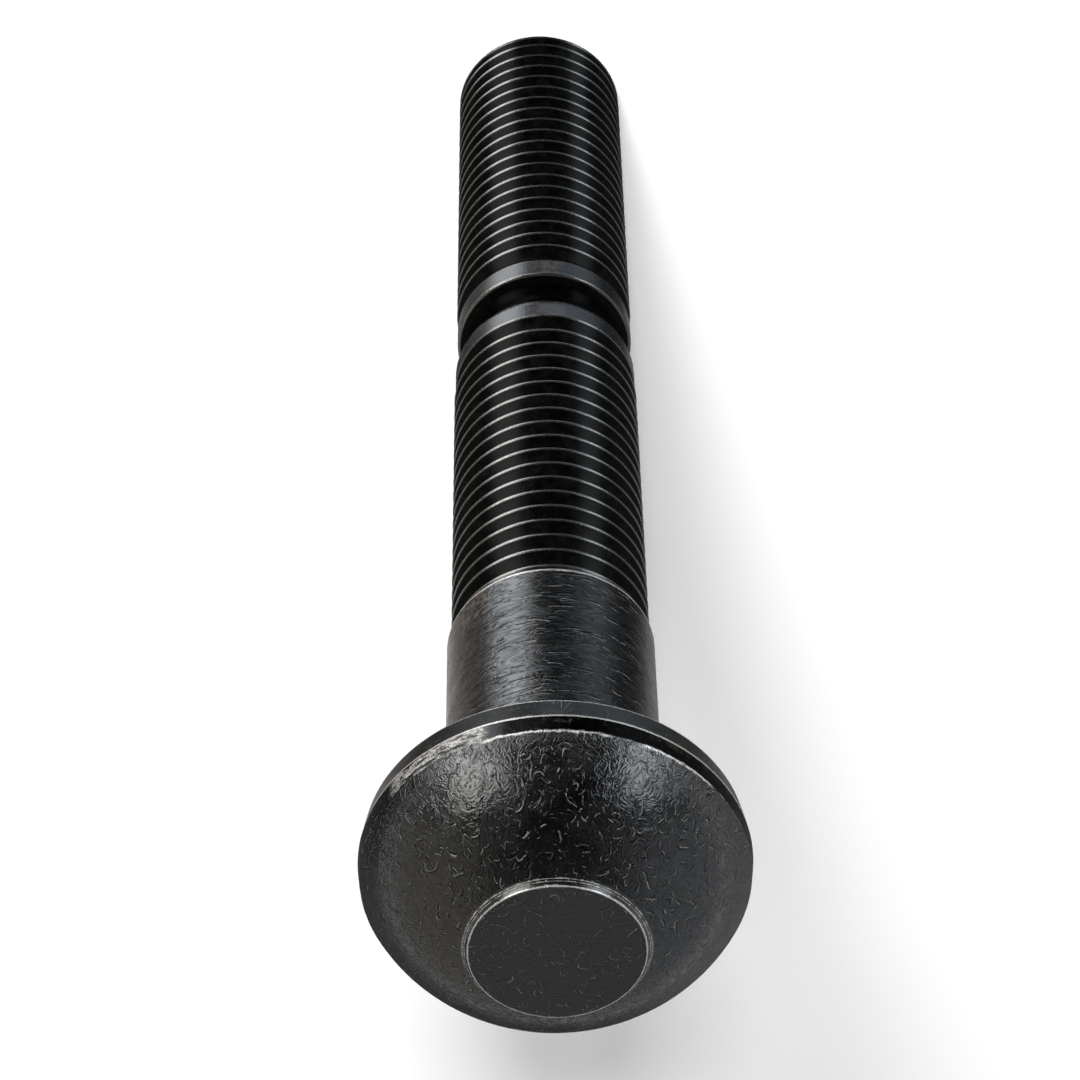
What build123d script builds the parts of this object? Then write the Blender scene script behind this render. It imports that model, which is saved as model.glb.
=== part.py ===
# Round head lockbolt for a 20 mm hole: one steel forging with an upset round head, rolled locking
# grooves, a breakneck groove and a pulling tail. It stands on the end of its tail, head up, and the
# origin is the centre of that end. All sizes are in millimetres.
from build123d import *
import os

# --- pulling tail, from its free end upwards ---
tail_cone_height = 1.65       # lead-in cone on the free end
tail_end_d = 17.1             # flat that is left inside the cone
tail_end_to_ridge = 3.45      # free end to the middle of the first ridge
pull_ridges = 19
pull_pitch = 2.42
pull_ridge_d = 18.9
pull_ridge_to_land = 3.0      # middle of the last ridge to the plain land
pull_land_height = 2.6
pull_land_d = 18.7

# --- breakneck, where the tail snaps off ---
neck_height = 6.0             # land to land
neck_d = 14.4                 # at the bottom of the round groove
neck_chords = 6               # straight lines that stand for its arc, each within 0.06 of it
lock_lip_height = 0.9         # long bevel above the groove
lock_lip_inset = 0.3

# --- locking grooves, which the swaged collar grips ---
lock_land_height = 2.2
lock_land_d = 19.0
land_to_lock_ridge = 2.85     # land to the middle of the first ridge
lock_ridges = 17              # full ridges, below the one at the run-out
lock_pitch = 2.35
lock_ridge_d = 19.24
runout_ridge_d = 18.94        # the last ridge, which the dies leave a little low
runout_ridge_to_shoulder = 1.0

# --- form of the rolled grooves, the same in both runs ---
groove_depth = 0.9            # of a trough, and of a V that is just as wide as its two flanks
flank_run = 1.22              # length along the axis of a flank at that depth

# --- plain shank and round head ---
shoulder_chamfer = 0.3
plain_height = 28.4           # shoulder to the bearing face
shank_d = 20.0
bearing_d = 34.5              # edge of the bearing face
rim_height = 2.64             # bearing face to the widest line of the rim
head_d = 35.44                # the widest line
band_height = 1.78            # widest line to the foot of the crown
crown_foot_d = 35.04
crown_radius = 15.8
crown_chords = 8              # straight lines that stand for its arc, each within 0.02 of it
crown_height = 13.0           # bearing face to the root of the centre boss
boss_root_d = 16.9
boss_height = 0.72
boss_d = 15.75

# --- heights above the free end that follow from the sizes above ---
pull_first = tail_end_to_ridge
pull_last = pull_first + (pull_ridges - 1) * pull_pitch
pull_land_foot = pull_last + pull_ridge_to_land
neck_foot = pull_land_foot + pull_land_height
neck_top = neck_foot + neck_height
lock_land_top = neck_top + lock_land_height
lock_first = lock_land_top + land_to_lock_ridge
lock_last = lock_first + (lock_ridges - 1) * lock_pitch
runout_ridge = lock_last + lock_pitch
shoulder = runout_ridge + runout_ridge_to_shoulder
bearing_face = shoulder + plain_height
widest_line = bearing_face + rim_height
crown_foot = widest_line + band_height
boss_root = bearing_face + crown_height
boss_top = boss_root + boss_height


def groove(low, high, diameter):
    """The root of the groove between two heights: a V, or a flat-bottomed trough if it is wider."""
    if high - low > 2 * flank_run:
        root = diameter / 2 - groove_depth
        return [(root, low + flank_run), (root, high - flank_run)]
    half_width = (high - low) / 2
    return [(diameter / 2 - groove_depth * half_width / flank_run, low + half_width)]


def ridge_run(first, count, pitch, diameter):
    """The corners of a run of equal sharp ridges, with a groove between each pair."""
    corners = [(diameter / 2, first)]
    for i in range(1, count):
        height = first + i * pitch
        corners += groove(height - pitch, height, diameter)
        corners.append((diameter / 2, height))
    return corners


def chords(curve, count):
    """Short straight lines that stand for a curve, so that the mesh of the bolt stays light."""
    return Polyline(*[curve @ (i / count) for i in range(count + 1)])


# The bolt is round all over, so half of its long section, turned about the axis, is the whole of it.
with BuildPart() as lockbolt:
    with BuildSketch(Plane.XZ) as half_section:
        with BuildLine():
            tail = Polyline(
                (0, 0),
                (tail_end_d / 2, 0),
                (pull_ridge_d / 2, tail_cone_height),
                *groove(tail_cone_height, pull_first, pull_ridge_d),
                *ridge_run(pull_first, pull_ridges, pull_pitch, pull_ridge_d),
                *groove(pull_last, pull_land_foot, pull_ridge_d),
                (pull_land_d / 2, pull_land_foot),
                (pull_land_d / 2, neck_foot),
            )
            neck_arc = ThreePointArc(
                tail @ 1,
                (neck_d / 2, (neck_foot + neck_top) / 2),
                (lock_land_d / 2 - lock_lip_inset, neck_top - lock_lip_height),
                mode=Mode.PRIVATE,
            )
            breakneck = chords(neck_arc, neck_chords)
            shank_and_rim = Polyline(
                breakneck @ 1,
                (lock_land_d / 2, neck_top),
                (lock_land_d / 2, lock_land_top),
                *groove(lock_land_top, lock_first, lock_ridge_d),
                *ridge_run(lock_first, lock_ridges, lock_pitch, lock_ridge_d),
                *groove(lock_last, runout_ridge, lock_ridge_d),
                (runout_ridge_d / 2, runout_ridge),
                *groove(runout_ridge, shoulder, runout_ridge_d),
                (shank_d / 2 - shoulder_chamfer, shoulder),
                (shank_d / 2, shoulder + shoulder_chamfer),
                (shank_d / 2, bearing_face),
                (bearing_d / 2, bearing_face),
                (head_d / 2, widest_line),
                (crown_foot_d / 2, crown_foot),
            )
            crown_arc = RadiusArc(
                shank_and_rim @ 1, (boss_root_d / 2, boss_root), -crown_radius, mode=Mode.PRIVATE
            )
            crown = chords(crown_arc, crown_chords)
            boss = Polyline(crown @ 1, (boss_d / 2, boss_top), (0, boss_top), (0, 0))
        make_face()
    revolve(axis=Axis.Z)

lockbolt.part.label = "lockbolt"

os.makedirs("parts", exist_ok=True)
export_step(lockbolt.part, "parts/lockbolt.step")
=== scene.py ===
# Round head lockbolt for a 20 mm hole, in black oxide finished steel. It stands on the end of its
# tail on a pale table, head up. The file goes up the bolt from its tail to its head, turns the one
# forging, gives it its finish, and then sets the table, the studio and the camera round it.
import math

import bpy
from mathutils import Matrix, Vector


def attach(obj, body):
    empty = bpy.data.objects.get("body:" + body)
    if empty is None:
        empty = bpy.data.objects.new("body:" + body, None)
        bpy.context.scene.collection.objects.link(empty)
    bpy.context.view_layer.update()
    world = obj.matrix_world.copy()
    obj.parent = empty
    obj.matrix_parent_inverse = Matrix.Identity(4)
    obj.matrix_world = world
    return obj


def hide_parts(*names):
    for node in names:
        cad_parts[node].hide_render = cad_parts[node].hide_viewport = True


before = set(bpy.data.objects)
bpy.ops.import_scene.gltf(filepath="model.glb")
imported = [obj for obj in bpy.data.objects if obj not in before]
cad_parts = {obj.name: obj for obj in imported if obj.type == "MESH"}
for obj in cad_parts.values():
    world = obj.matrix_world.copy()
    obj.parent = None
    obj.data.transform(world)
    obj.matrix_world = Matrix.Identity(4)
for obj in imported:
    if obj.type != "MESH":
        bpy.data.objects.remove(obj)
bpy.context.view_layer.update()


# --- pulling tail ---
# The free end of the forging, with a small lead-in cone and nineteen rolled rings that the jaws of
# the pulling tool grip. The tail is snapped off when the collar has been swaged.
cone_top = 1.65
tail_radius = 9.45

# The long section of the bolt is a list of corners: radius, height, rounding and wear, in mm. The
# wear is how far handling has rubbed the finish off a corner: 0 is none, and 1 is most of it.
section = [
    (0.0, 0.0, 0.0, 0.0),
    (8.55, 0.0, 0.15, 0.4),
    (tail_radius, cone_top, 0.12, 0.8),
]
ring_top = 0.16
ring_edge = 0.06
ring_wear = 1.25
groove_depth = 1.05
groove_flank = 1.04
root_rounding = 0.22


def add_groove(low, high, radius):
    """The root of one rolled groove between two heights: a V, or a trough if it is wide."""
    if high - low > 2.2 * groove_flank:
        section.append((radius - groove_depth, low + groove_flank, root_rounding, 0.0))
        section.append((radius - groove_depth, high - groove_flank, root_rounding, 0.0))
        return
    half = (high - low) / 2
    depth = groove_depth * min(1.0, half / groove_flank)
    section.append((radius - depth, low + half, root_rounding, 0.0))


def add_ring(height, radius):
    """The narrow flat top of one ring, with its two rolled edges."""
    section.append((radius, height - ring_top / 2, ring_edge, ring_wear))
    section.append((radius, height + ring_top / 2, ring_edge, ring_wear))


def add_rings(count, first, pitch, radius, low):
    """A run of rings above a height, with a groove below each. It gives the top of the last ring."""
    for ring in range(count):
        height = first + ring * pitch
        add_groove(low, height - ring_top / 2, radius)
        add_ring(height, radius)
        low = height + ring_top / 2
    return low


tail_rings = 19
tail_pitch = 2.42
first_tail_ring = 3.45
pull_land_low = 50.01
last_top = add_rings(tail_rings, first_tail_ring, tail_pitch, tail_radius, cone_top)
add_groove(last_top, pull_land_low, tail_radius)


# --- breakneck ---
# A deep round groove between two plain lands, turned to the size at which the tail breaks away. The
# edges of the lands are the first to be rubbed bright.
pull_land_high = 52.61
section += [
    (9.35, pull_land_low, 0.12, 1.0),
    (9.35, pull_land_high, 0.24, 1.35),
]
neck_radius = 7.2
neck_middle = 55.16
neck_round = 2.62
neck_half_turn = math.radians(78)
neck_steps = 12
for step in range(1, neck_steps):
    turn = neck_half_turn * (2 * step / neck_steps - 1)
    radius = neck_radius + neck_round * (1 - math.cos(turn))
    section.append((radius, neck_middle + neck_round * math.sin(turn), 0.0, 0.0))
lip_low = 57.71
lock_land_high = 60.81
section += [
    (9.20, lip_low, 0.12, 0.8),
    (9.50, 58.61, 0.12, 0.9),
    (9.50, lock_land_high, 0.12, 1.2),
]


# --- locking grooves ---
# Eighteen rings, rolled by flat dies like a thread but without a helix. The collar is swaged into
# them. The last ring, at the run-out, is a little low.
lock_rings = 17
lock_pitch = 2.35
first_lock_ring = 63.66
lock_radius = 9.62
run_out = 103.61
run_out_radius = 9.47
shoulder = 104.61
last_top = add_rings(lock_rings, first_lock_ring, lock_pitch, lock_radius, lock_land_high)
add_groove(last_top, run_out - ring_top / 2, lock_radius)
add_ring(run_out, run_out_radius)
add_groove(run_out + ring_top / 2, shoulder, run_out_radius)


# --- plain shank ---
# The ground part of the forging that fills the hole. Its lower edge is a small bevel, nicked and
# rubbed bright by the plates, and a small radius joins it to the head.
shank_radius = 10.0
seat = 133.01
section += [
    (9.70, shoulder, 0.08, 1.0),
    (shank_radius, shoulder + 0.30, 0.18, 1.3),
    (shank_radius, shoulder + 0.51, 0.0, 0.8),
    (shank_radius, shoulder + 0.79, 0.0, 0.0),
    (shank_radius, seat, 0.8, 0.0),
]


# --- round head ---
# Upset hot in a die: a flat seat, two narrow bands that meet in the widest line, a low crown and a
# round boss in the middle with a low step in its wall.
widest = 135.65
crown_start = 137.43
section += [
    (17.25, seat, 0.16, 1.3),
    (17.72, widest, 0.34, 1.15),
    (17.52, crown_start, 0.18, 0.52),
]
boss_root = 146.01
boss_top = 146.73
crown_foot = Vector((17.52, crown_start))
crown_top = Vector((8.45, boss_root))
crown_radius = 15.8
crown_steps = 28
chord = crown_top - crown_foot
across = Vector((chord.y, -chord.x)).normalized()
crown_centre = (crown_foot + crown_top) / 2 - across * math.sqrt(crown_radius**2 - (chord.length / 2) ** 2)
foot_turn = math.atan2(*(crown_foot - crown_centre).yx)
top_turn = math.atan2(*(crown_top - crown_centre).yx)
for step in range(1, crown_steps):
    turn = foot_turn + (top_turn - foot_turn) * step / crown_steps
    point = crown_centre + crown_radius * Vector((math.cos(turn), math.sin(turn)))
    section.append((point.x, point.y, 0.0, 0.0))
section += [
    (8.45, boss_root, 0.10, 0.0),
    (8.28, 146.19, 0.03, 0.85),
    (8.24, 146.21, 0.03, 0.0),
    (8.13, 146.36, 0.03, 0.8),
    (8.08, 146.38, 0.03, 0.0),
    (7.94, 146.60, 0.03, 0.5),
    (7.88, boss_top, 0.05, 1.12),
    (0.0, boss_top, 0.0, 0.0),
]


# --- the forging ---
# One piece of medium carbon steel. The section is softened at its corners and turned about the
# long axis, so that the light runs along every rolled and rubbed edge.
wear_fade = 0.14
longest_share = 0.45
groove_shade_radius = 9.2


def softened(corners):
    """The section with its corners rounded, and the wear kept to a narrow line at each of them. A
    rounding takes no more than the longest share of an edge."""
    points = []
    for i, (radius, height, rounding, wear) in enumerate(corners):
        here = Vector((radius, height))
        before = Vector(corners[i - 1][:2]) if i else here
        after = Vector(corners[i + 1][:2]) if i + 1 < len(corners) else here
        if rounding == 0 or before == here or after == here:
            points.append((radius, height, wear))
            continue
        to_before = (before - here).normalized()
        to_after = (after - here).normalized()
        half = to_before.angle(to_after) / 2
        shorter = min((before - here).length, (after - here).length)
        reach = min(rounding / math.tan(half), longest_share * shorter)
        true_rounding = reach * math.tan(half)
        centre = here + (to_before + to_after).normalized() * reach / math.cos(half)
        start = here + to_before * reach
        finish = here + to_after * reach
        if wear and (before - here).length > 2 * wear_fade + reach:
            edge = start + to_before * wear_fade
            points.append((edge.x, edge.y, 0.0))
        arc_steps = 3 if wear else 4
        for step in range(arc_steps + 1):
            arm = (start - centre).lerp(finish - centre, step / arc_steps).normalized() * true_rounding
            points.append((centre.x + arm.x, centre.y + arm.y, wear))
        if wear and (after - here).length > 2 * wear_fade + reach:
            edge = finish + to_after * wear_fade
            points.append((edge.x, edge.y, 0.0))
    return points


def turn_forging(name, points, sides):
    """A body of revolution in metres, with the wear of each point kept for its finish. Its second
    finish, the painted shade of the hollows, is on the roots of the rolled grooves and in the breakneck."""
    vertices = []
    wear = []
    faces = []
    finishes = []
    rings = []
    for radius, height, worn in points:
        if radius == 0:
            rings.append([len(vertices)])
            vertices.append((0, 0, height / 1000))
            wear.append(worn)
            continue
        rings.append(list(range(len(vertices), len(vertices) + sides)))
        for i in range(sides):
            turn = 2 * math.pi * i / sides
            vertices.append((radius * math.cos(turn) / 1000, radius * math.sin(turn) / 1000, height / 1000))
            wear.append(worn)
    for k, (lower, upper) in enumerate(zip(rings, rings[1:])):
        low, high = points[k], points[k + 1]
        unworn = low[2] + high[2] == 0
        rolled = cone_top < low[1] < shoulder - 0.01
        in_groove = unworn and rolled and (low[0] + high[0]) / 2 < groove_shade_radius
        finishes += [int(in_groove)] * sides
        for i in range(sides):
            j = (i + 1) % sides
            if len(lower) == 1:
                faces.append((lower[0], upper[j], upper[i]))
            elif len(upper) == 1:
                faces.append((lower[i], lower[j], upper[0]))
            else:
                faces.append((lower[i], lower[j], upper[j], upper[i]))
    mesh = bpy.data.meshes.new(name)
    mesh.from_pydata(vertices, [], faces)
    mesh.attributes.new("edge_wear", "FLOAT", "POINT").data.foreach_set("value", wear)
    mesh.shade_smooth()
    mesh.polygons.foreach_set("material_index", finishes)
    piece = bpy.data.objects.new(name, mesh)
    bpy.context.collection.objects.link(piece)
    return piece


forging = turn_forging("bolt_forging", softened(section), sides=136)
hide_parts("lockbolt")
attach(forging, "root")


# --- black oxide finish ---
# The forging is blasted, blackened in hot salts and oiled. The finish is thin and slightly glossy,
# with fine curly marks where parts rubbed in the barrel, painted glints and painted shade on those
# marks, and bare steel on the high edges.
class Wiring:
    """A few short ways to add and join the nodes of one finish, or of the studio's room."""

    def __init__(self, owner):
        self.owner = owner
        owner.use_nodes = True
        self.nodes = owner.node_tree.nodes
        self.links = owner.node_tree.links
        self.nodes.clear()

    def feed(self, socket, value):
        """Join a socket to an output, or set it. With no value it stays as it is."""
        if isinstance(value, bpy.types.NodeSocket):
            self.links.new(value, socket)
        elif value is not None:
            socket.default_value = value

    def node(self, kind, settings=(), **inputs):
        """A node with its settings and its inputs."""
        made = self.nodes.new(kind)
        for key, value in dict(settings).items():
            setattr(made, key, value)
        for key, value in inputs.items():
            self.feed(made.inputs[key.replace("_", " ")], value)
        return made

    def step(self, kind, operation, *values):
        """One step of arithmetic, with numbers or with vectors."""
        made = self.nodes.new(kind)
        made.operation = operation
        for socket, value in zip(made.inputs, values):
            self.feed(socket, value)
        return made.outputs

    def maths(self, operation, *values):
        """One step of arithmetic with numbers."""
        return self.step("ShaderNodeMath", operation, *values)[0]

    def vector(self, operation, *values, scale=None):
        """One step of arithmetic with vectors."""
        values = (values + (None, None))[:3] + (scale,)
        outputs = self.step("ShaderNodeVectorMath", operation, *values)
        return outputs["Value" if operation == "LENGTH" else "Vector"]

    def chain(self, operation, values):
        """The same step of arithmetic over several numbers."""
        result = values[0]
        for value in values[1:]:
            result = self.maths(operation, result, value)
        return result

    def product(self, *values):
        return self.chain("MULTIPLY", values)

    def most(self, *values):
        """The highest of several numbers."""
        return self.chain("MAXIMUM", values)

    def total(self, *values):
        return self.chain("ADD", values)

    def rest(self, share):
        """What a share leaves of one."""
        return self.maths("SUBTRACT", 1.0, share)

    def ease(self, value, low, high, to_low=0.0, to_high=1.0):
        """A soft change from one level to another, between two values."""
        made = self.node("ShaderNodeMapRange", {"interpolation_type": "SMOOTHSTEP"}, Value=value)
        for key, given in (("From Min", low), ("From Max", high), ("To Min", to_low), ("To Max", to_high)):
            self.feed(made.inputs[key], given)
        return made.outputs["Result"]

    def window(self, value, low, high, soft, far_soft=None):
        """One between two values, with soft ends."""
        far_soft = far_soft or soft
        return self.product(
            self.ease(value, low - soft, low), self.ease(value, high, high + far_soft, 1.0, 0.0)
        )

    def cloud(self, place, scale, detail=3.0, roughness=0.5, distortion=0.0, output="Fac"):
        """Soft noise."""
        made = self.node("ShaderNodeTexNoise", Vector=place, Scale=scale, Detail=detail)
        self.feed(made.inputs["Roughness"], roughness)
        self.feed(made.inputs["Distortion"], distortion)
        return made.outputs[output]

    def blend(self, share, first, second, kind="RGBA"):
        """A mix of two colours, or of two numbers (FLOAT) or two vectors (VECTOR)."""
        made = self.node("ShaderNodeMix", {"data_type": kind})
        pick = ("FLOAT", "VECTOR", "RGBA").index(kind)
        self.feed(made.inputs[0], share)
        self.feed(made.inputs[2 * pick + 2], first)
        self.feed(made.inputs[2 * pick + 3], second)
        return made.outputs[pick]

    def place_in_mm(self):
        """Where a point is on its piece, in millimetres."""
        return self.vector("SCALE", self.node("ShaderNodeTexCoord").outputs["Object"], scale=1000.0)

    def surface(self, shader, output="ShaderNodeOutputMaterial"):
        """The shader that the finish or the room shows."""
        self.links.new(shader.outputs[0], self.node(output).inputs["Surface"])


oxide = Wiring(bpy.data.materials.new("black_oxide_finish"))
in_mm = oxide.place_in_mm()
to_left, to_back, up = oxide.node("ShaderNodeSeparateXYZ", Vector=in_mm).outputs

# The skin is laid out flat: the head like a map seen from its top, the shank unrolled from its back.
# The marks on the shank run round it, so there the map is drawn out along the bolt.
map_centre = 130.0
map_radius = 17.0
shank_map_width = 3.8
axis_free = oxide.node("ShaderNodeCombineXYZ", X=to_left, Y=to_back).outputs[0]
from_axis = oxide.vector("LENGTH", axis_free)
lean = oxide.maths("ARCTAN2", from_axis, oxide.maths("SUBTRACT", up, map_centre))
spread = oxide.maths("DIVIDE", oxide.product(lean, map_radius), oxide.most(from_axis, 0.01))
head_map = oxide.vector("SCALE", axis_free, scale=spread)
behind = oxide.maths("ARCTAN2", to_left, oxide.product(to_back, -1.0))
shank_map = oxide.node("ShaderNodeCombineXYZ", X=oxide.product(behind, shank_map_width), Y=up).outputs[0]
on_head = oxide.maths("GREATER_THAN", up, seat - 0.01)
skin = oxide.blend(on_head, shank_map, head_map, "VECTOR")
dash_swing = oxide.maths("MULTIPLY_ADD", on_head, 5.5, 0.7)


def shifted(seed):
    """The skin moved sideways, so that each kind of mark falls in other places."""
    return oxide.vector("ADD", skin, (seed, seed * 1.7, 0))


def dashes(cell, reach, width, share, seed):
    """Short bent rub marks, one to a cell, each with its own turn, bend and length, and the painted shade
    beside each.
    """
    moved = shifted(seed)
    wobble = oxide.cloud(moved, 0.9 / cell, detail=1.0, output="Color")
    shaken = oxide.vector("MULTIPLY_ADD", wobble, (0.7 * cell, 0.7 * cell, 0), moved)
    cells = oxide.node("ShaderNodeTexVoronoi", {"voronoi_dimensions": "2D"}, Vector=shaken, Scale=1 / cell)
    red, green, blue = oxide.node("ShaderNodeSeparateColor", Color=cells.outputs["Color"]).outputs
    offset = oxide.vector("SUBTRACT", shaken, cells.outputs["Position"])
    swing = oxide.maths("MULTIPLY_ADD", red, dash_swing, oxide.product(dash_swing, -0.5))
    turned = oxide.node("ShaderNodeVectorRotate", {"rotation_type": "Z_AXIS"}, Vector=offset, Angle=swing)
    along, beside, _ = oxide.node("ShaderNodeSeparateXYZ", Vector=turned.outputs[0]).outputs
    bend = oxide.maths("MULTIPLY_ADD", green, 2.6 / reach, -1.3 / reach)
    aside = oxide.maths("SUBTRACT", beside, oxide.product(along, along, bend))
    line = oxide.ease(oxide.maths("ABSOLUTE", aside), 0.2 * width, width, 1.0, 0.0)
    below = oxide.maths("ABSOLUTE", oxide.total(aside, 1.5 * width))
    shade = oxide.ease(below, 0.5 * width, 1.3 * width, 1.0, 0.0)
    length = oxide.maths("MULTIPLY_ADD", blue, 0.7 * reach, 0.3 * reach)
    past_end = oxide.maths("SUBTRACT", oxide.maths("ABSOLUTE", along), length)
    crowd = oxide.cloud(moved, 0.22, detail=1.0)
    local_share = oxide.ease(crowd, 0.35, 0.6, share - 0.25, share + 0.2)
    kept = oxide.maths("LESS_THAN", blue, local_share)
    there = oxide.product(oxide.ease(past_end, -0.1, 0.04, 1.0, 0.0), kept)
    pressed = oxide.maths("POWER", oxide.maths("FRACT", oxide.product(red, 7.3)), 1.7)
    bright = oxide.maths("MULTIPLY_ADD", pressed, 0.78, 0.22)
    return oxide.product(line, there, bright), oxide.product(shade, there)


def curls(scale, turns, width, share, seed):
    """Fine curly lines: level lines of a soft cloud, of which only a share is left."""
    moved = shifted(seed)
    hills = oxide.cloud(moved, scale, detail=1.6, roughness=0.45, distortion=0.7)
    level = oxide.maths("PINGPONG", oxide.product(hills, turns), 0.5)
    line = oxide.ease(level, 0.0, width, 1.0, 0.0)
    kept = oxide.ease(oxide.cloud(moved, 1.7 * scale, detail=1.0), 1 - share - 0.06, 1 - share + 0.06)
    return oxide.product(line, kept)


coarse_dashes, coarse_shade = dashes(cell=1.30, reach=0.90, width=0.085, share=0.60, seed=3.0)
middle_dashes, middle_shade = dashes(cell=0.90, reach=0.50, width=0.070, share=0.50, seed=19.0)
fine_dashes, fine_shade = dashes(cell=0.60, reach=0.26, width=0.055, share=0.38, seed=11.0)
ripples = curls(scale=0.74, turns=9.0, width=0.50, share=0.60, seed=27.0)
scratches = curls(scale=0.07, turns=3.0, width=0.008, share=0.36, seed=41.0)

# The marks keep off the grooves and the wall of the boss. They are fainter on its face and on the
# two bands, and their painted shade is lighter on the head than on the shank.
no_grooves = oxide.maths("GREATER_THAN", up, shoulder - 0.01)
boss_face = oxide.maths("GREATER_THAN", up, boss_top - 0.01)
boss_wall = oxide.product(
    oxide.maths("GREATER_THAN", up, boss_root - 0.01), oxide.maths("LESS_THAN", up, boss_top - 0.01)
)
calm = oxide.rest(oxide.maths("MULTIPLY_ADD", boss_face, 0.30, boss_wall))
off_bands = oxide.rest(
    oxide.product(on_head, oxide.ease(up, crown_start - 0.13, crown_start + 0.07, 0.6, 0.0))
)
marked = oxide.product(no_grooves, calm, off_bands)
shade_depth = oxide.most(oxide.ease(to_back, -10.5, -6.0, 0.8, 0.65), oxide.rest(on_head))
shaded = oxide.product(marked, shade_depth)
all_marks = oxide.most(scratches, coarse_dashes, middle_dashes, oxide.product(fine_dashes, 0.7))
marks = oxide.product(all_marks, marked)
# The shade beside the marks and the dark lines of the ripples are painted shade.
all_shade = oxide.most(coarse_shade, middle_shade, fine_shade, oxide.product(ripples, 0.42))

# Small specks, each with a painted glint in it and a painted dark halo of shade round it; they are also low
# pits in the relief.
speck_cells = oxide.node("ShaderNodeTexVoronoi", Vector=in_mm, Scale=1.3).outputs
speck_chance = oxide.node("ShaderNodeSeparateColor", Color=speck_cells["Color"]).outputs["Red"]
pitted = oxide.product(oxide.maths("GREATER_THAN", speck_chance, 0.70), no_grooves)
speck = oxide.product(oxide.ease(speck_cells["Distance"], 0.05, 0.13, 1.0, 0.0), pitted)
speck_halo = oxide.ease(speck_cells["Distance"], 0.16, 0.30, 0.8, 0.0)
shade = oxide.most(oxide.product(all_shade, shaded), oxide.product(speck_halo, pitted, shaded))

# The clouds that make the finish patchy and its marks ragged, and the worn edges of the forging.
patches = oxide.cloud(in_mm, 0.35, detail=5.0, roughness=0.6)
grain = oxide.cloud(in_mm, 5.0, detail=3.0, roughness=0.65)
wear_break = oxide.cloud(in_mm, 1.6, detail=4.0, roughness=0.7)
jag = oxide.cloud(in_mm, 1.3, detail=3.0, roughness=0.6)
streak = oxide.cloud(oxide.vector("MULTIPLY", in_mm, (0.6, 0.6, 2.6)), 0.9, detail=4.0, roughness=0.65)
edge_wear = oxide.node("ShaderNodeAttribute", {"attribute_name": "edge_wear"}).outputs["Fac"]
ragged = oxide.maths("MULTIPLY_ADD", wear_break, 1.6, -0.8)
worn_edges = oxide.ease(oxide.total(edge_wear, ragged), 0.50, 0.95)

# The head was knocked about most: a jagged rub where the crown starts, and worn edges on the right
# of the seat and of the widest line. They are bare steel, and on the near side only.
near_side = oxide.maths("LESS_THAN", to_back, 0.0)
foot_height = oxide.total(up, oxide.maths("MULTIPLY_ADD", jag, 0.6, -0.3))
from_foot_line = oxide.maths("ABSOLUTE", oxide.maths("SUBTRACT", foot_height, crown_start + 0.02))
foot_line = oxide.ease(from_foot_line, 0.05, 0.17, 1.0, 0.0)
foot_stretch = oxide.most(oxide.window(to_left, -4.5, 5.5, 1.0), oxide.window(to_left, -13.4, -8.2, 0.6))
patchy = oxide.ease(wear_break, 0.36, 0.50, 0.3, 1.0)
foot_rub = oxide.product(foot_line, foot_stretch, near_side, patchy)
right_end = oxide.ease(to_left, -10.0, -2.0, 0.75, 0.0)
no_shank = oxide.maths("GREATER_THAN", from_axis, 17.0)
seat_edge = oxide.product(oxide.ease(up, seat + 0.12, seat + 0.19, 1.2, 0.0), no_shank, right_end)
wide_edge = oxide.product(oxide.window(up, widest - 0.09, widest + 0.11, 0.05), right_end)
edge_rub = oxide.product(oxide.most(seat_edge, wide_edge), near_side)
bare = oxide.most(worn_edges, foot_rub, edge_rub)

# A streaky chalky rub is on the left of the upper band. Brown is on the right of the widest line, on
# the left of the shoulder, and thinly in the middle of the two lands beside the breakneck.
upper_band = oxide.window(up, widest + 0.15, crown_start - 0.08, 0.12)
chalk_streaks = oxide.ease(streak, 0.42, 0.58)
chalky = oxide.product(upper_band, oxide.window(to_left, 6.5, 13.5, 1.2), near_side, chalk_streaks)
chalk = oxide.product(chalky, oxide.ease(grain, 0.36, 0.64, 0.25, 0.95))
rim_brown = oxide.product(
    oxide.window(up, widest - 0.25, widest + 0.65, 0.2),
    oxide.window(to_left, -16.0, -9.0, 1.0),
    oxide.ease(jag, 0.42, 0.6),
)
shoulder_brown = oxide.product(
    oxide.window(up, shoulder + 0.39, shoulder + 3.89, 1.2),
    oxide.window(to_left, 6.2, 8.4, 0.9),
    near_side,
    oxide.ease(jag, 0.45, 0.6),
)
lands = oxide.most(
    oxide.window(up, pull_land_low + 0.04, pull_land_high - 0.11, 0.05),
    oxide.window(up, lip_low - 0.01, lock_land_high - 0.01, 0.05),
)
land_middle = oxide.window(to_left, -1.6, 0.7, 1.2)
land_rub = oxide.product(lands, land_middle, oxide.ease(jag, 0.40, 0.62, 0.05, 0.38))
stain = oxide.most(oxide.product(oxide.most(rim_brown, shoulder_brown), 0.8), land_rub)

# Painted shade, as a black finish that mirrors almost nothing: on the left of the lower band and on the
# right of the upper one, beside the marks, and thinly on the face of the boss.
shaded_lower_band_left = oxide.product(
    oxide.window(up, seat + 0.09, widest - 0.20, 0.1), oxide.ease(to_left, -0.5, 2.5)
)
shaded_upper_band_right = oxide.product(
    oxide.window(up, widest + 0.15, crown_start - 0.08, 0.1), oxide.ease(to_left, 6.5, 3.5)
)
painted_band_shade = oxide.product(oxide.most(shaded_lower_band_left, shaded_upper_band_right), oxide.ease(streak, 0.30, 0.42, 0.3, 1.0))
painted_shade_black = oxide.most(oxide.product(oxide.most(shade, painted_band_shade), 0.95), oxide.product(boss_face, 0.22))
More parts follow.
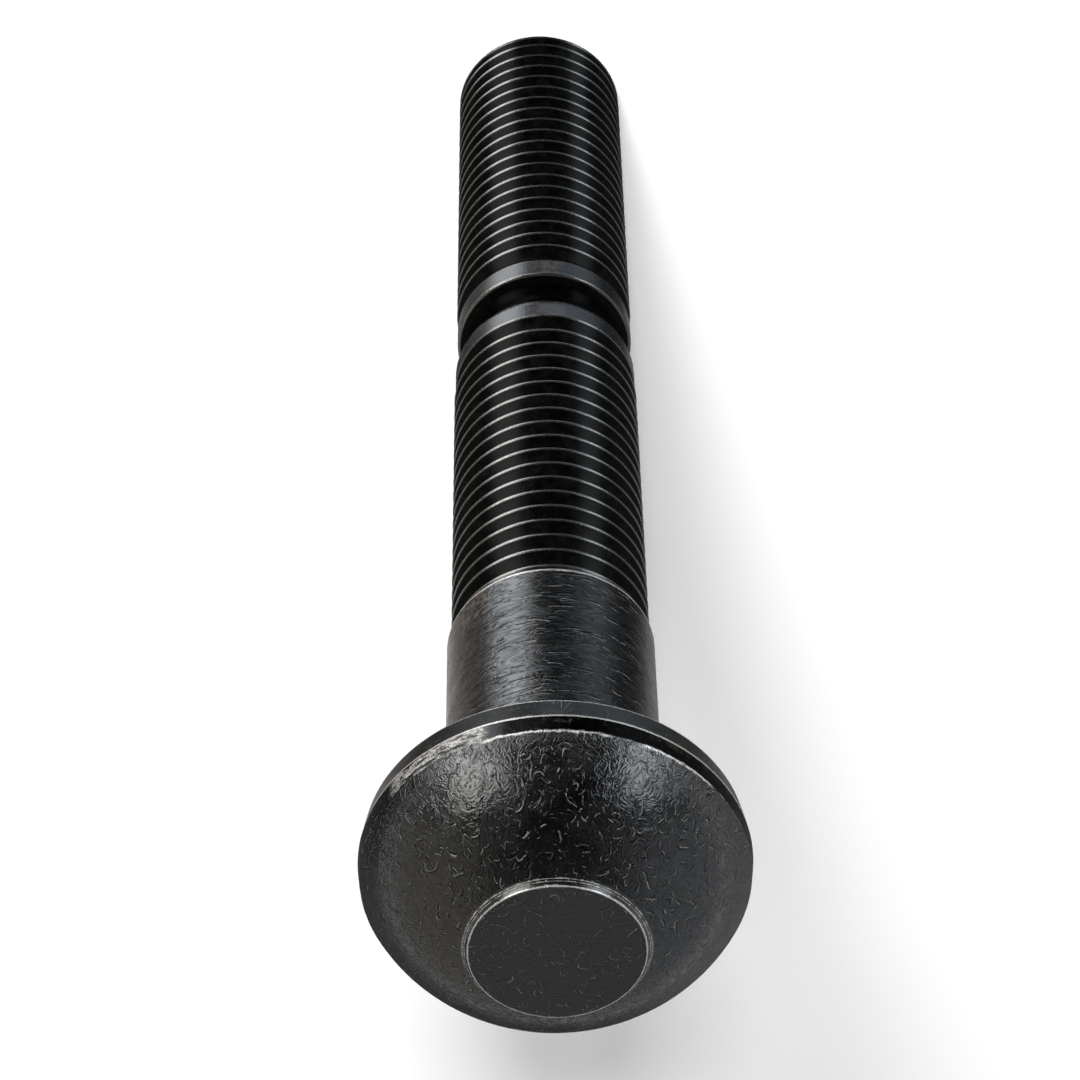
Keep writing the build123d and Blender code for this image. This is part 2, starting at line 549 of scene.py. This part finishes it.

# The colours are laid one over the other: oxide, lands, stain, chalk, painted glints on the marks and
# specks, bare steel.
oxide_colour = oxide.blend(
    oxide.ease(patches, 0.35, 0.68), (0.0014, 0.0014, 0.0015, 1), (0.0042, 0.0042, 0.0043, 1)
)
land_colour = oxide.blend(lands, oxide_colour, (0.0060, 0.0075, 0.0095, 1))
stained_colour = oxide.blend(stain, land_colour, (0.080, 0.060, 0.042, 1))
chalked_colour = oxide.blend(chalk, stained_colour, (0.60, 0.582, 0.546, 1))
# The marks and specks are painted light grey where the grain lets them: painted glints.
painted_glints = oxide.product(oxide.most(marks, speck), oxide.ease(grain, 0.38, 0.58, 0.25, 0.90))
painted_glint_colour = oxide.blend(painted_glints, chalked_colour, (0.19, 0.19, 0.182, 1))
# The bare edges of the rings are painted darker towards the right: painted shade, over the grain.
ring_grain_and_shade = oxide.product(grain, oxide.ease(to_left, -9.0, 3.0, 0.44, 0.90))
ring_steel = oxide.blend(ring_grain_and_shade, (0.10, 0.095, 0.088, 1), (0.70, 0.683, 0.65, 1))
head_steel = oxide.blend(grain, (0.55, 0.53, 0.50, 1), (0.90, 0.89, 0.87, 1))
steel_colour = oxide.blend(no_grooves, ring_steel, head_steel)
surface_colour = oxide.blend(bare, painted_glint_colour, steel_colour)

# Bare steel mirrors as a metal. So does the painted shade beside the marks and on the bands, but as a black
# one.
bare_metal = oxide.ease(bare, 0.0, 0.5, 0.0, oxide.maths("MULTIPLY_ADD", no_grooves, -0.27, 0.97))
black_metal = oxide.product(painted_shade_black, oxide.rest(chalk))
band_rough = oxide.product(oxide.window(up, seat + 0.19, widest - 0.35, 0.2), 0.10)
added_rough = oxide.maths("MULTIPLY_ADD", boss_face, 0.10, band_rough)
rough = oxide.total(
    oxide.ease(patches, 0.3, 0.7, 0.16, 0.25), oxide.maths("MULTIPLY_ADD", grain, 0.07, added_rough)
)
relief = oxide.total(
    marks,
    oxide.product(ripples, marked, 0.38),
    oxide.product(grain, 0.25),
    oxide.maths("SUBTRACT", patches, oxide.product(speck, 0.8)),
)
bump = oxide.node("ShaderNodeBump", Height=relief, Strength=1.0, Distance=0.000033)
steel = oxide.node(
    "ShaderNodeBsdfPrincipled",
    Base_Color=surface_colour,
    Metallic=oxide.most(bare_metal, black_metal),
    Roughness=rough,
    Normal=bump.outputs["Normal"],
)
steel.inputs["IOR"].default_value = 2.3
oxide.surface(steel)
forging.data.materials.append(oxide.owner)

# The rolled grooves and the breakneck get an almost black, dull finish with little gloss: painted
# shade in these hollows. It is darker still in the breakneck.
groove_shade = Wiring(bpy.data.materials.new("groove_painted_shade"))
groove_shade_place = groove_shade.place_in_mm()
groove_shade_up = groove_shade.node("ShaderNodeSeparateXYZ", Vector=groove_shade_place).outputs["Z"]
groove_shade_cloud = groove_shade.cloud(groove_shade_place, 0.8, detail=4.0, roughness=0.6)
groove_shade_grain = groove_shade.cloud(groove_shade_place, 6.0, detail=2.0, roughness=0.6)
groove_shade_colour = groove_shade.blend(
    groove_shade.ease(groove_shade_cloud, 0.35, 0.7), (0.0006, 0.0006, 0.0006, 1), (0.0024, 0.0023, 0.0021, 1)
)
in_neck = groove_shade.window(groove_shade_up, pull_land_high + 0.59, lip_low - 0.51, 0.6, 0.5)
groove_shade_bump = groove_shade.node("ShaderNodeBump", Height=groove_shade_grain, Strength=0.5, Distance=0.00001)
dull = groove_shade.node(
    "ShaderNodeBsdfPrincipled",
    Base_Color=groove_shade_colour,
    Metallic=groove_shade.product(in_neck, 0.7),
    Roughness=groove_shade.ease(groove_shade_cloud, 0.3, 0.7, 0.21, 0.29),
    Normal=groove_shade_bump.outputs["Normal"],
)
dull.inputs["Specular IOR Level"].default_value = 0.14
groove_shade.surface(dull)
forging.data.materials.append(groove_shade.owner)


# --- table ---
# A sheet of smooth white card on the table, which the bolt stands on and which takes its shadow.
# It glows faintly, so that it stays white in the picture.
def flat_sheet(name, corners, height):
    """A flat horizontal sheet with the given corners, in metres."""
    mesh = bpy.data.meshes.new(name)
    mesh.from_pydata([(x, y, height) for x, y in corners], [], [tuple(range(len(corners)))])
    sheet = bpy.data.objects.new(name, mesh)
    bpy.context.collection.objects.link(sheet)
    return sheet


table_half = 4
table_corners = [(-table_half, -table_half), (table_half, -table_half)]
table_corners += [(table_half, table_half), (-table_half, table_half)]
table = flat_sheet("white_table", table_corners, 0.0)
card = Wiring(bpy.data.materials.new("white_card"))
white = card.node("ShaderNodeBsdfPrincipled", Base_Color=(0.95, 0.95, 0.95, 1), Roughness=0.9)
white.inputs["Specular IOR Level"].default_value = 0.1
card_rays = card.node("ShaderNodeLightPath").outputs
in_sight = card.most(
    card_rays["Is Camera Ray"], card_rays["Is Glossy Ray"], card_rays["Is Transmission Ray"]
)
glow = card.node("ShaderNodeEmission", Color=(1, 1, 1, 1), Strength=card.product(in_sight, 0.08))
both = card.node("ShaderNodeAddShader")
card.links.new(white.outputs[0], both.inputs[0])
card.links.new(glow.outputs[0], both.inputs[1])
card.surface(both)
table.data.materials.append(card.owner)


# --- reflector on the table ---
# A round sheet of card about the foot, seen only in the gloss of the steel. Near the foot it is
# black in front of the bolt, with a bright strip on the left, a faint one on the right and a small
# one close by. Further out the two strips are wider.
reflector_radius = 1.6
reflector_lift = 0.0002
reflector_rim = []
for angle in range(0, 360, 5):
    turn = math.radians(angle)
    reflector_rim.append((reflector_radius * math.cos(turn), reflector_radius * math.sin(turn)))
reflector = flat_sheet("reflector_card", reflector_rim, reflector_lift)
reflector.visible_camera = False
reflector.visible_diffuse = False
reflector.visible_shadow = False
reflector.visible_transmission = False
strips = Wiring(bpy.data.materials.new("reflector_strips"))
on_card = strips.node("ShaderNodeTexCoord").outputs["Object"]
facing = strips.node("ShaderNodeMapping", Vector=on_card, Rotation=(0, 0, math.radians(90)))
round_card = strips.node(
    "ShaderNodeTexGradient", {"gradient_type": "RADIAL"}, Vector=facing.outputs[0]
).outputs["Fac"]
from_foot = strips.vector("LENGTH", on_card)
brightest = 2.6


def card_tones(tones):
    """The light of the card at each bearing; the third number is how blue it is."""
    ramp = strips.node("ShaderNodeValToRGB", Fac=round_card)
    ramp.color_ramp.interpolation = "EASE"
    stops = ramp.color_ramp.elements
    for i, (bearing, tone, blue) in enumerate(tones):
        at = 0.5 - bearing / 360
        stop = stops[i] if i < 2 else stops.new(at)
        stop.position = at
        share = tone / brightest
        stop.color = (share * (1 - 0.14 * blue), share, share * (1 + 0.12 * blue), 1)
    return ramp.outputs["Color"]


near_tones = card_tones(
    [
        (180, 0.22, 0),
        (140, 0.42, 0),
        (112, 0.07, 0),
        (84, 0.026, 0),
        (48, 0.35, 1),
        (20, 0.05, 1),
        (2, 0.006, 0),
        (-14, 0.01, 0),
        (-36, 2.2, 0.3),
        (-52, 2.15, 0.3),
        (-76, 0.24, -0.5),
        (-104, 0.27, -0.6),
        (-140, 0.55, -0.3),
        (-180, 1.0, 0),
    ]
)
far_tones = card_tones(
    [
        (180, 0.06, 0),
        (150, 0.24, 0),
        (90, 0.30, 0),
        (62, 0.36, 0.5),
        (42, 0.75, 0.5),
        (20, 0.05, 0),
        (2, 0.03, 0),
        (-17, 1.70, 0.2),
        (-46, 0.50, 0),
        (-72, 0.02, 0),
        (-130, 0.12, 0),
        (-180, 0.06, 0),
    ]
)
two_zones = strips.blend(strips.ease(from_foot, 0.110, 0.155), near_tones, far_tones)
dark_ring = strips.window(from_foot, 0.044, 0.062, 0.010, 0.014)
dark_side = strips.ease(round_card, 0.70, 0.80, 0.0, 0.75)
darkened = strips.blend(strips.product(dark_ring, dark_side), two_zones, (0, 0, 0, 1))
close_ring = strips.window(from_foot, 0.050, 0.058, 0.006)
close_side = strips.window(round_card, 0.44, 0.50, 0.08, 0.045)
strip_colour = strips.blend(strips.product(close_ring, close_side), darkened, (0.25, 0.31, 0.37, 1))
gap = strips.product(
    strips.ease(from_foot, 0.105, 0.14, 0.0, 0.6), strips.ease(from_foot, 0.16, 0.24, 1.0, 0.0)
)
dimmed_near = strips.ease(from_foot, 0.066, 0.090, 0.72, 1.0)
strip_strength = strips.product(dimmed_near, strips.rest(gap), brightest)
strips.surface(strips.node("ShaderNodeEmission", Color=strip_colour, Strength=strip_strength))
reflector.data.materials.append(strips.owner)


# --- studio ---
# A white room with a black curtain behind the camera and a dim ceiling in the gloss. A wide softbox
# stands on the left and a narrow one on the right, both flagged off the table. Two bare lamps
# behind the camera light the table and draw the two soft shadows.
room = Wiring(bpy.data.worlds.new("white_room"))
room.owner.cycles.sampling_method = "NONE"
bpy.context.scene.world = room.owner
way = room.node("ShaderNodeTexCoord").outputs["Generated"]
leftward, backward, upward = room.node("ShaderNodeSeparateXYZ", Vector=way).outputs
room_rays = room.node("ShaderNodeLightPath").outputs
curtain = room.ease(backward, -0.70, 0.05)
ceiling = room.ease(upward, 0.70, 0.97, 0.26, 0.034)
room_level = room.blend(room_rays["Is Glossy Ray"], 0.06, room.product(curtain, ceiling), "FLOAT")
straight = room.most(room_rays["Is Camera Ray"], room_rays["Is Transmission Ray"])
tint = room.blend(room.ease(leftward, -0.6, 0.6), (0.93, 0.985, 1.05, 1), (1.05, 1.0, 0.92, 1))
backdrop = room.node(
    "ShaderNodeBackground",
    Color=room.blend(room_rays["Is Glossy Ray"], (1, 1, 1, 1), tint),
    Strength=room.blend(straight, room_level, 1.0, "FLOAT"),
)
room.surface(backdrop, "ShaderNodeOutputWorld")


def facing_bolt(bearing, rise):
    """The direction from the bolt to a lamp; a bearing to the left of the camera is negative."""
    turn = math.radians(bearing)
    tilt = math.radians(rise)
    return Vector((-math.sin(turn) * math.cos(tilt), -math.cos(turn) * math.cos(tilt), math.sin(tilt)))


def softbox(name, bearing, rise, size, level, colour):
    """A softbox aimed at the head and flagged off the table. It shows in the gloss of the steel."""
    way_out = facing_bolt(bearing, rise)
    lamp = bpy.data.lights.new(name, "AREA")
    lamp.shape = "RECTANGLE"
    lamp.size, lamp.size_y = size
    lamp.color = colour
    lamp.energy = level * math.pi * size[0] * size[1]
    stand = bpy.data.objects.new(name, lamp)
    aim = Vector((0, 0, 0.125))
    distance = 0.40
    turned = way_out.to_track_quat("Z", "Y").to_matrix().to_4x4()
    stand.matrix_world = Matrix.Translation(aim + way_out * distance) @ turned
    stand.visible_camera = False
    stand.visible_diffuse = False
    bpy.context.collection.objects.link(stand)


softbox("left_softbox", bearing=-43, rise=12, size=(0.18, 0.27), level=2.6, colour=(1.0, 0.99, 0.97))
softbox("right_softbox", bearing=46, rise=10, size=(0.12, 0.27), level=2.25, colour=(0.84, 0.94, 1.0))


def bare_lamp(name, bearing, rise, level, spread):
    """A bare lamp high behind the camera that lights the table and draws a soft shadow on it."""
    lamp = bpy.data.lights.new(name, "SUN")
    lamp.energy = level
    lamp.angle = math.radians(spread)
    stand = bpy.data.objects.new(name, lamp)
    stand.matrix_world = facing_bolt(bearing, rise).to_track_quat("Z", "Y").to_matrix().to_4x4()
    stand.visible_glossy = False
    bpy.context.collection.objects.link(stand)


bare_lamp("side_lamp", bearing=-12.2, rise=35, level=2.3, spread=12)
bare_lamp("back_lamp", bearing=-0.8, rise=40.5, level=2.65, spread=6.5)


# --- camera ---
# A long lens that looks down the bolt from beyond its head, turned so that the head is at the
# bottom of the picture.
lens = bpy.data.cameras.new("long_lens")
lens.sensor_width = 36
lens.lens = 119.32
lens.clip_start = 0.01
camera = bpy.data.objects.new("camera", lens)
camera.location = (0.0, -0.21717, 0.37320)
camera.rotation_euler = (math.radians(-37.209), math.radians(-0.641), math.radians(178.932))
bpy.context.collection.objects.link(camera)
bpy.context.scene.camera = camera
bpy.context.scene.view_settings.view_transform = "Standard"
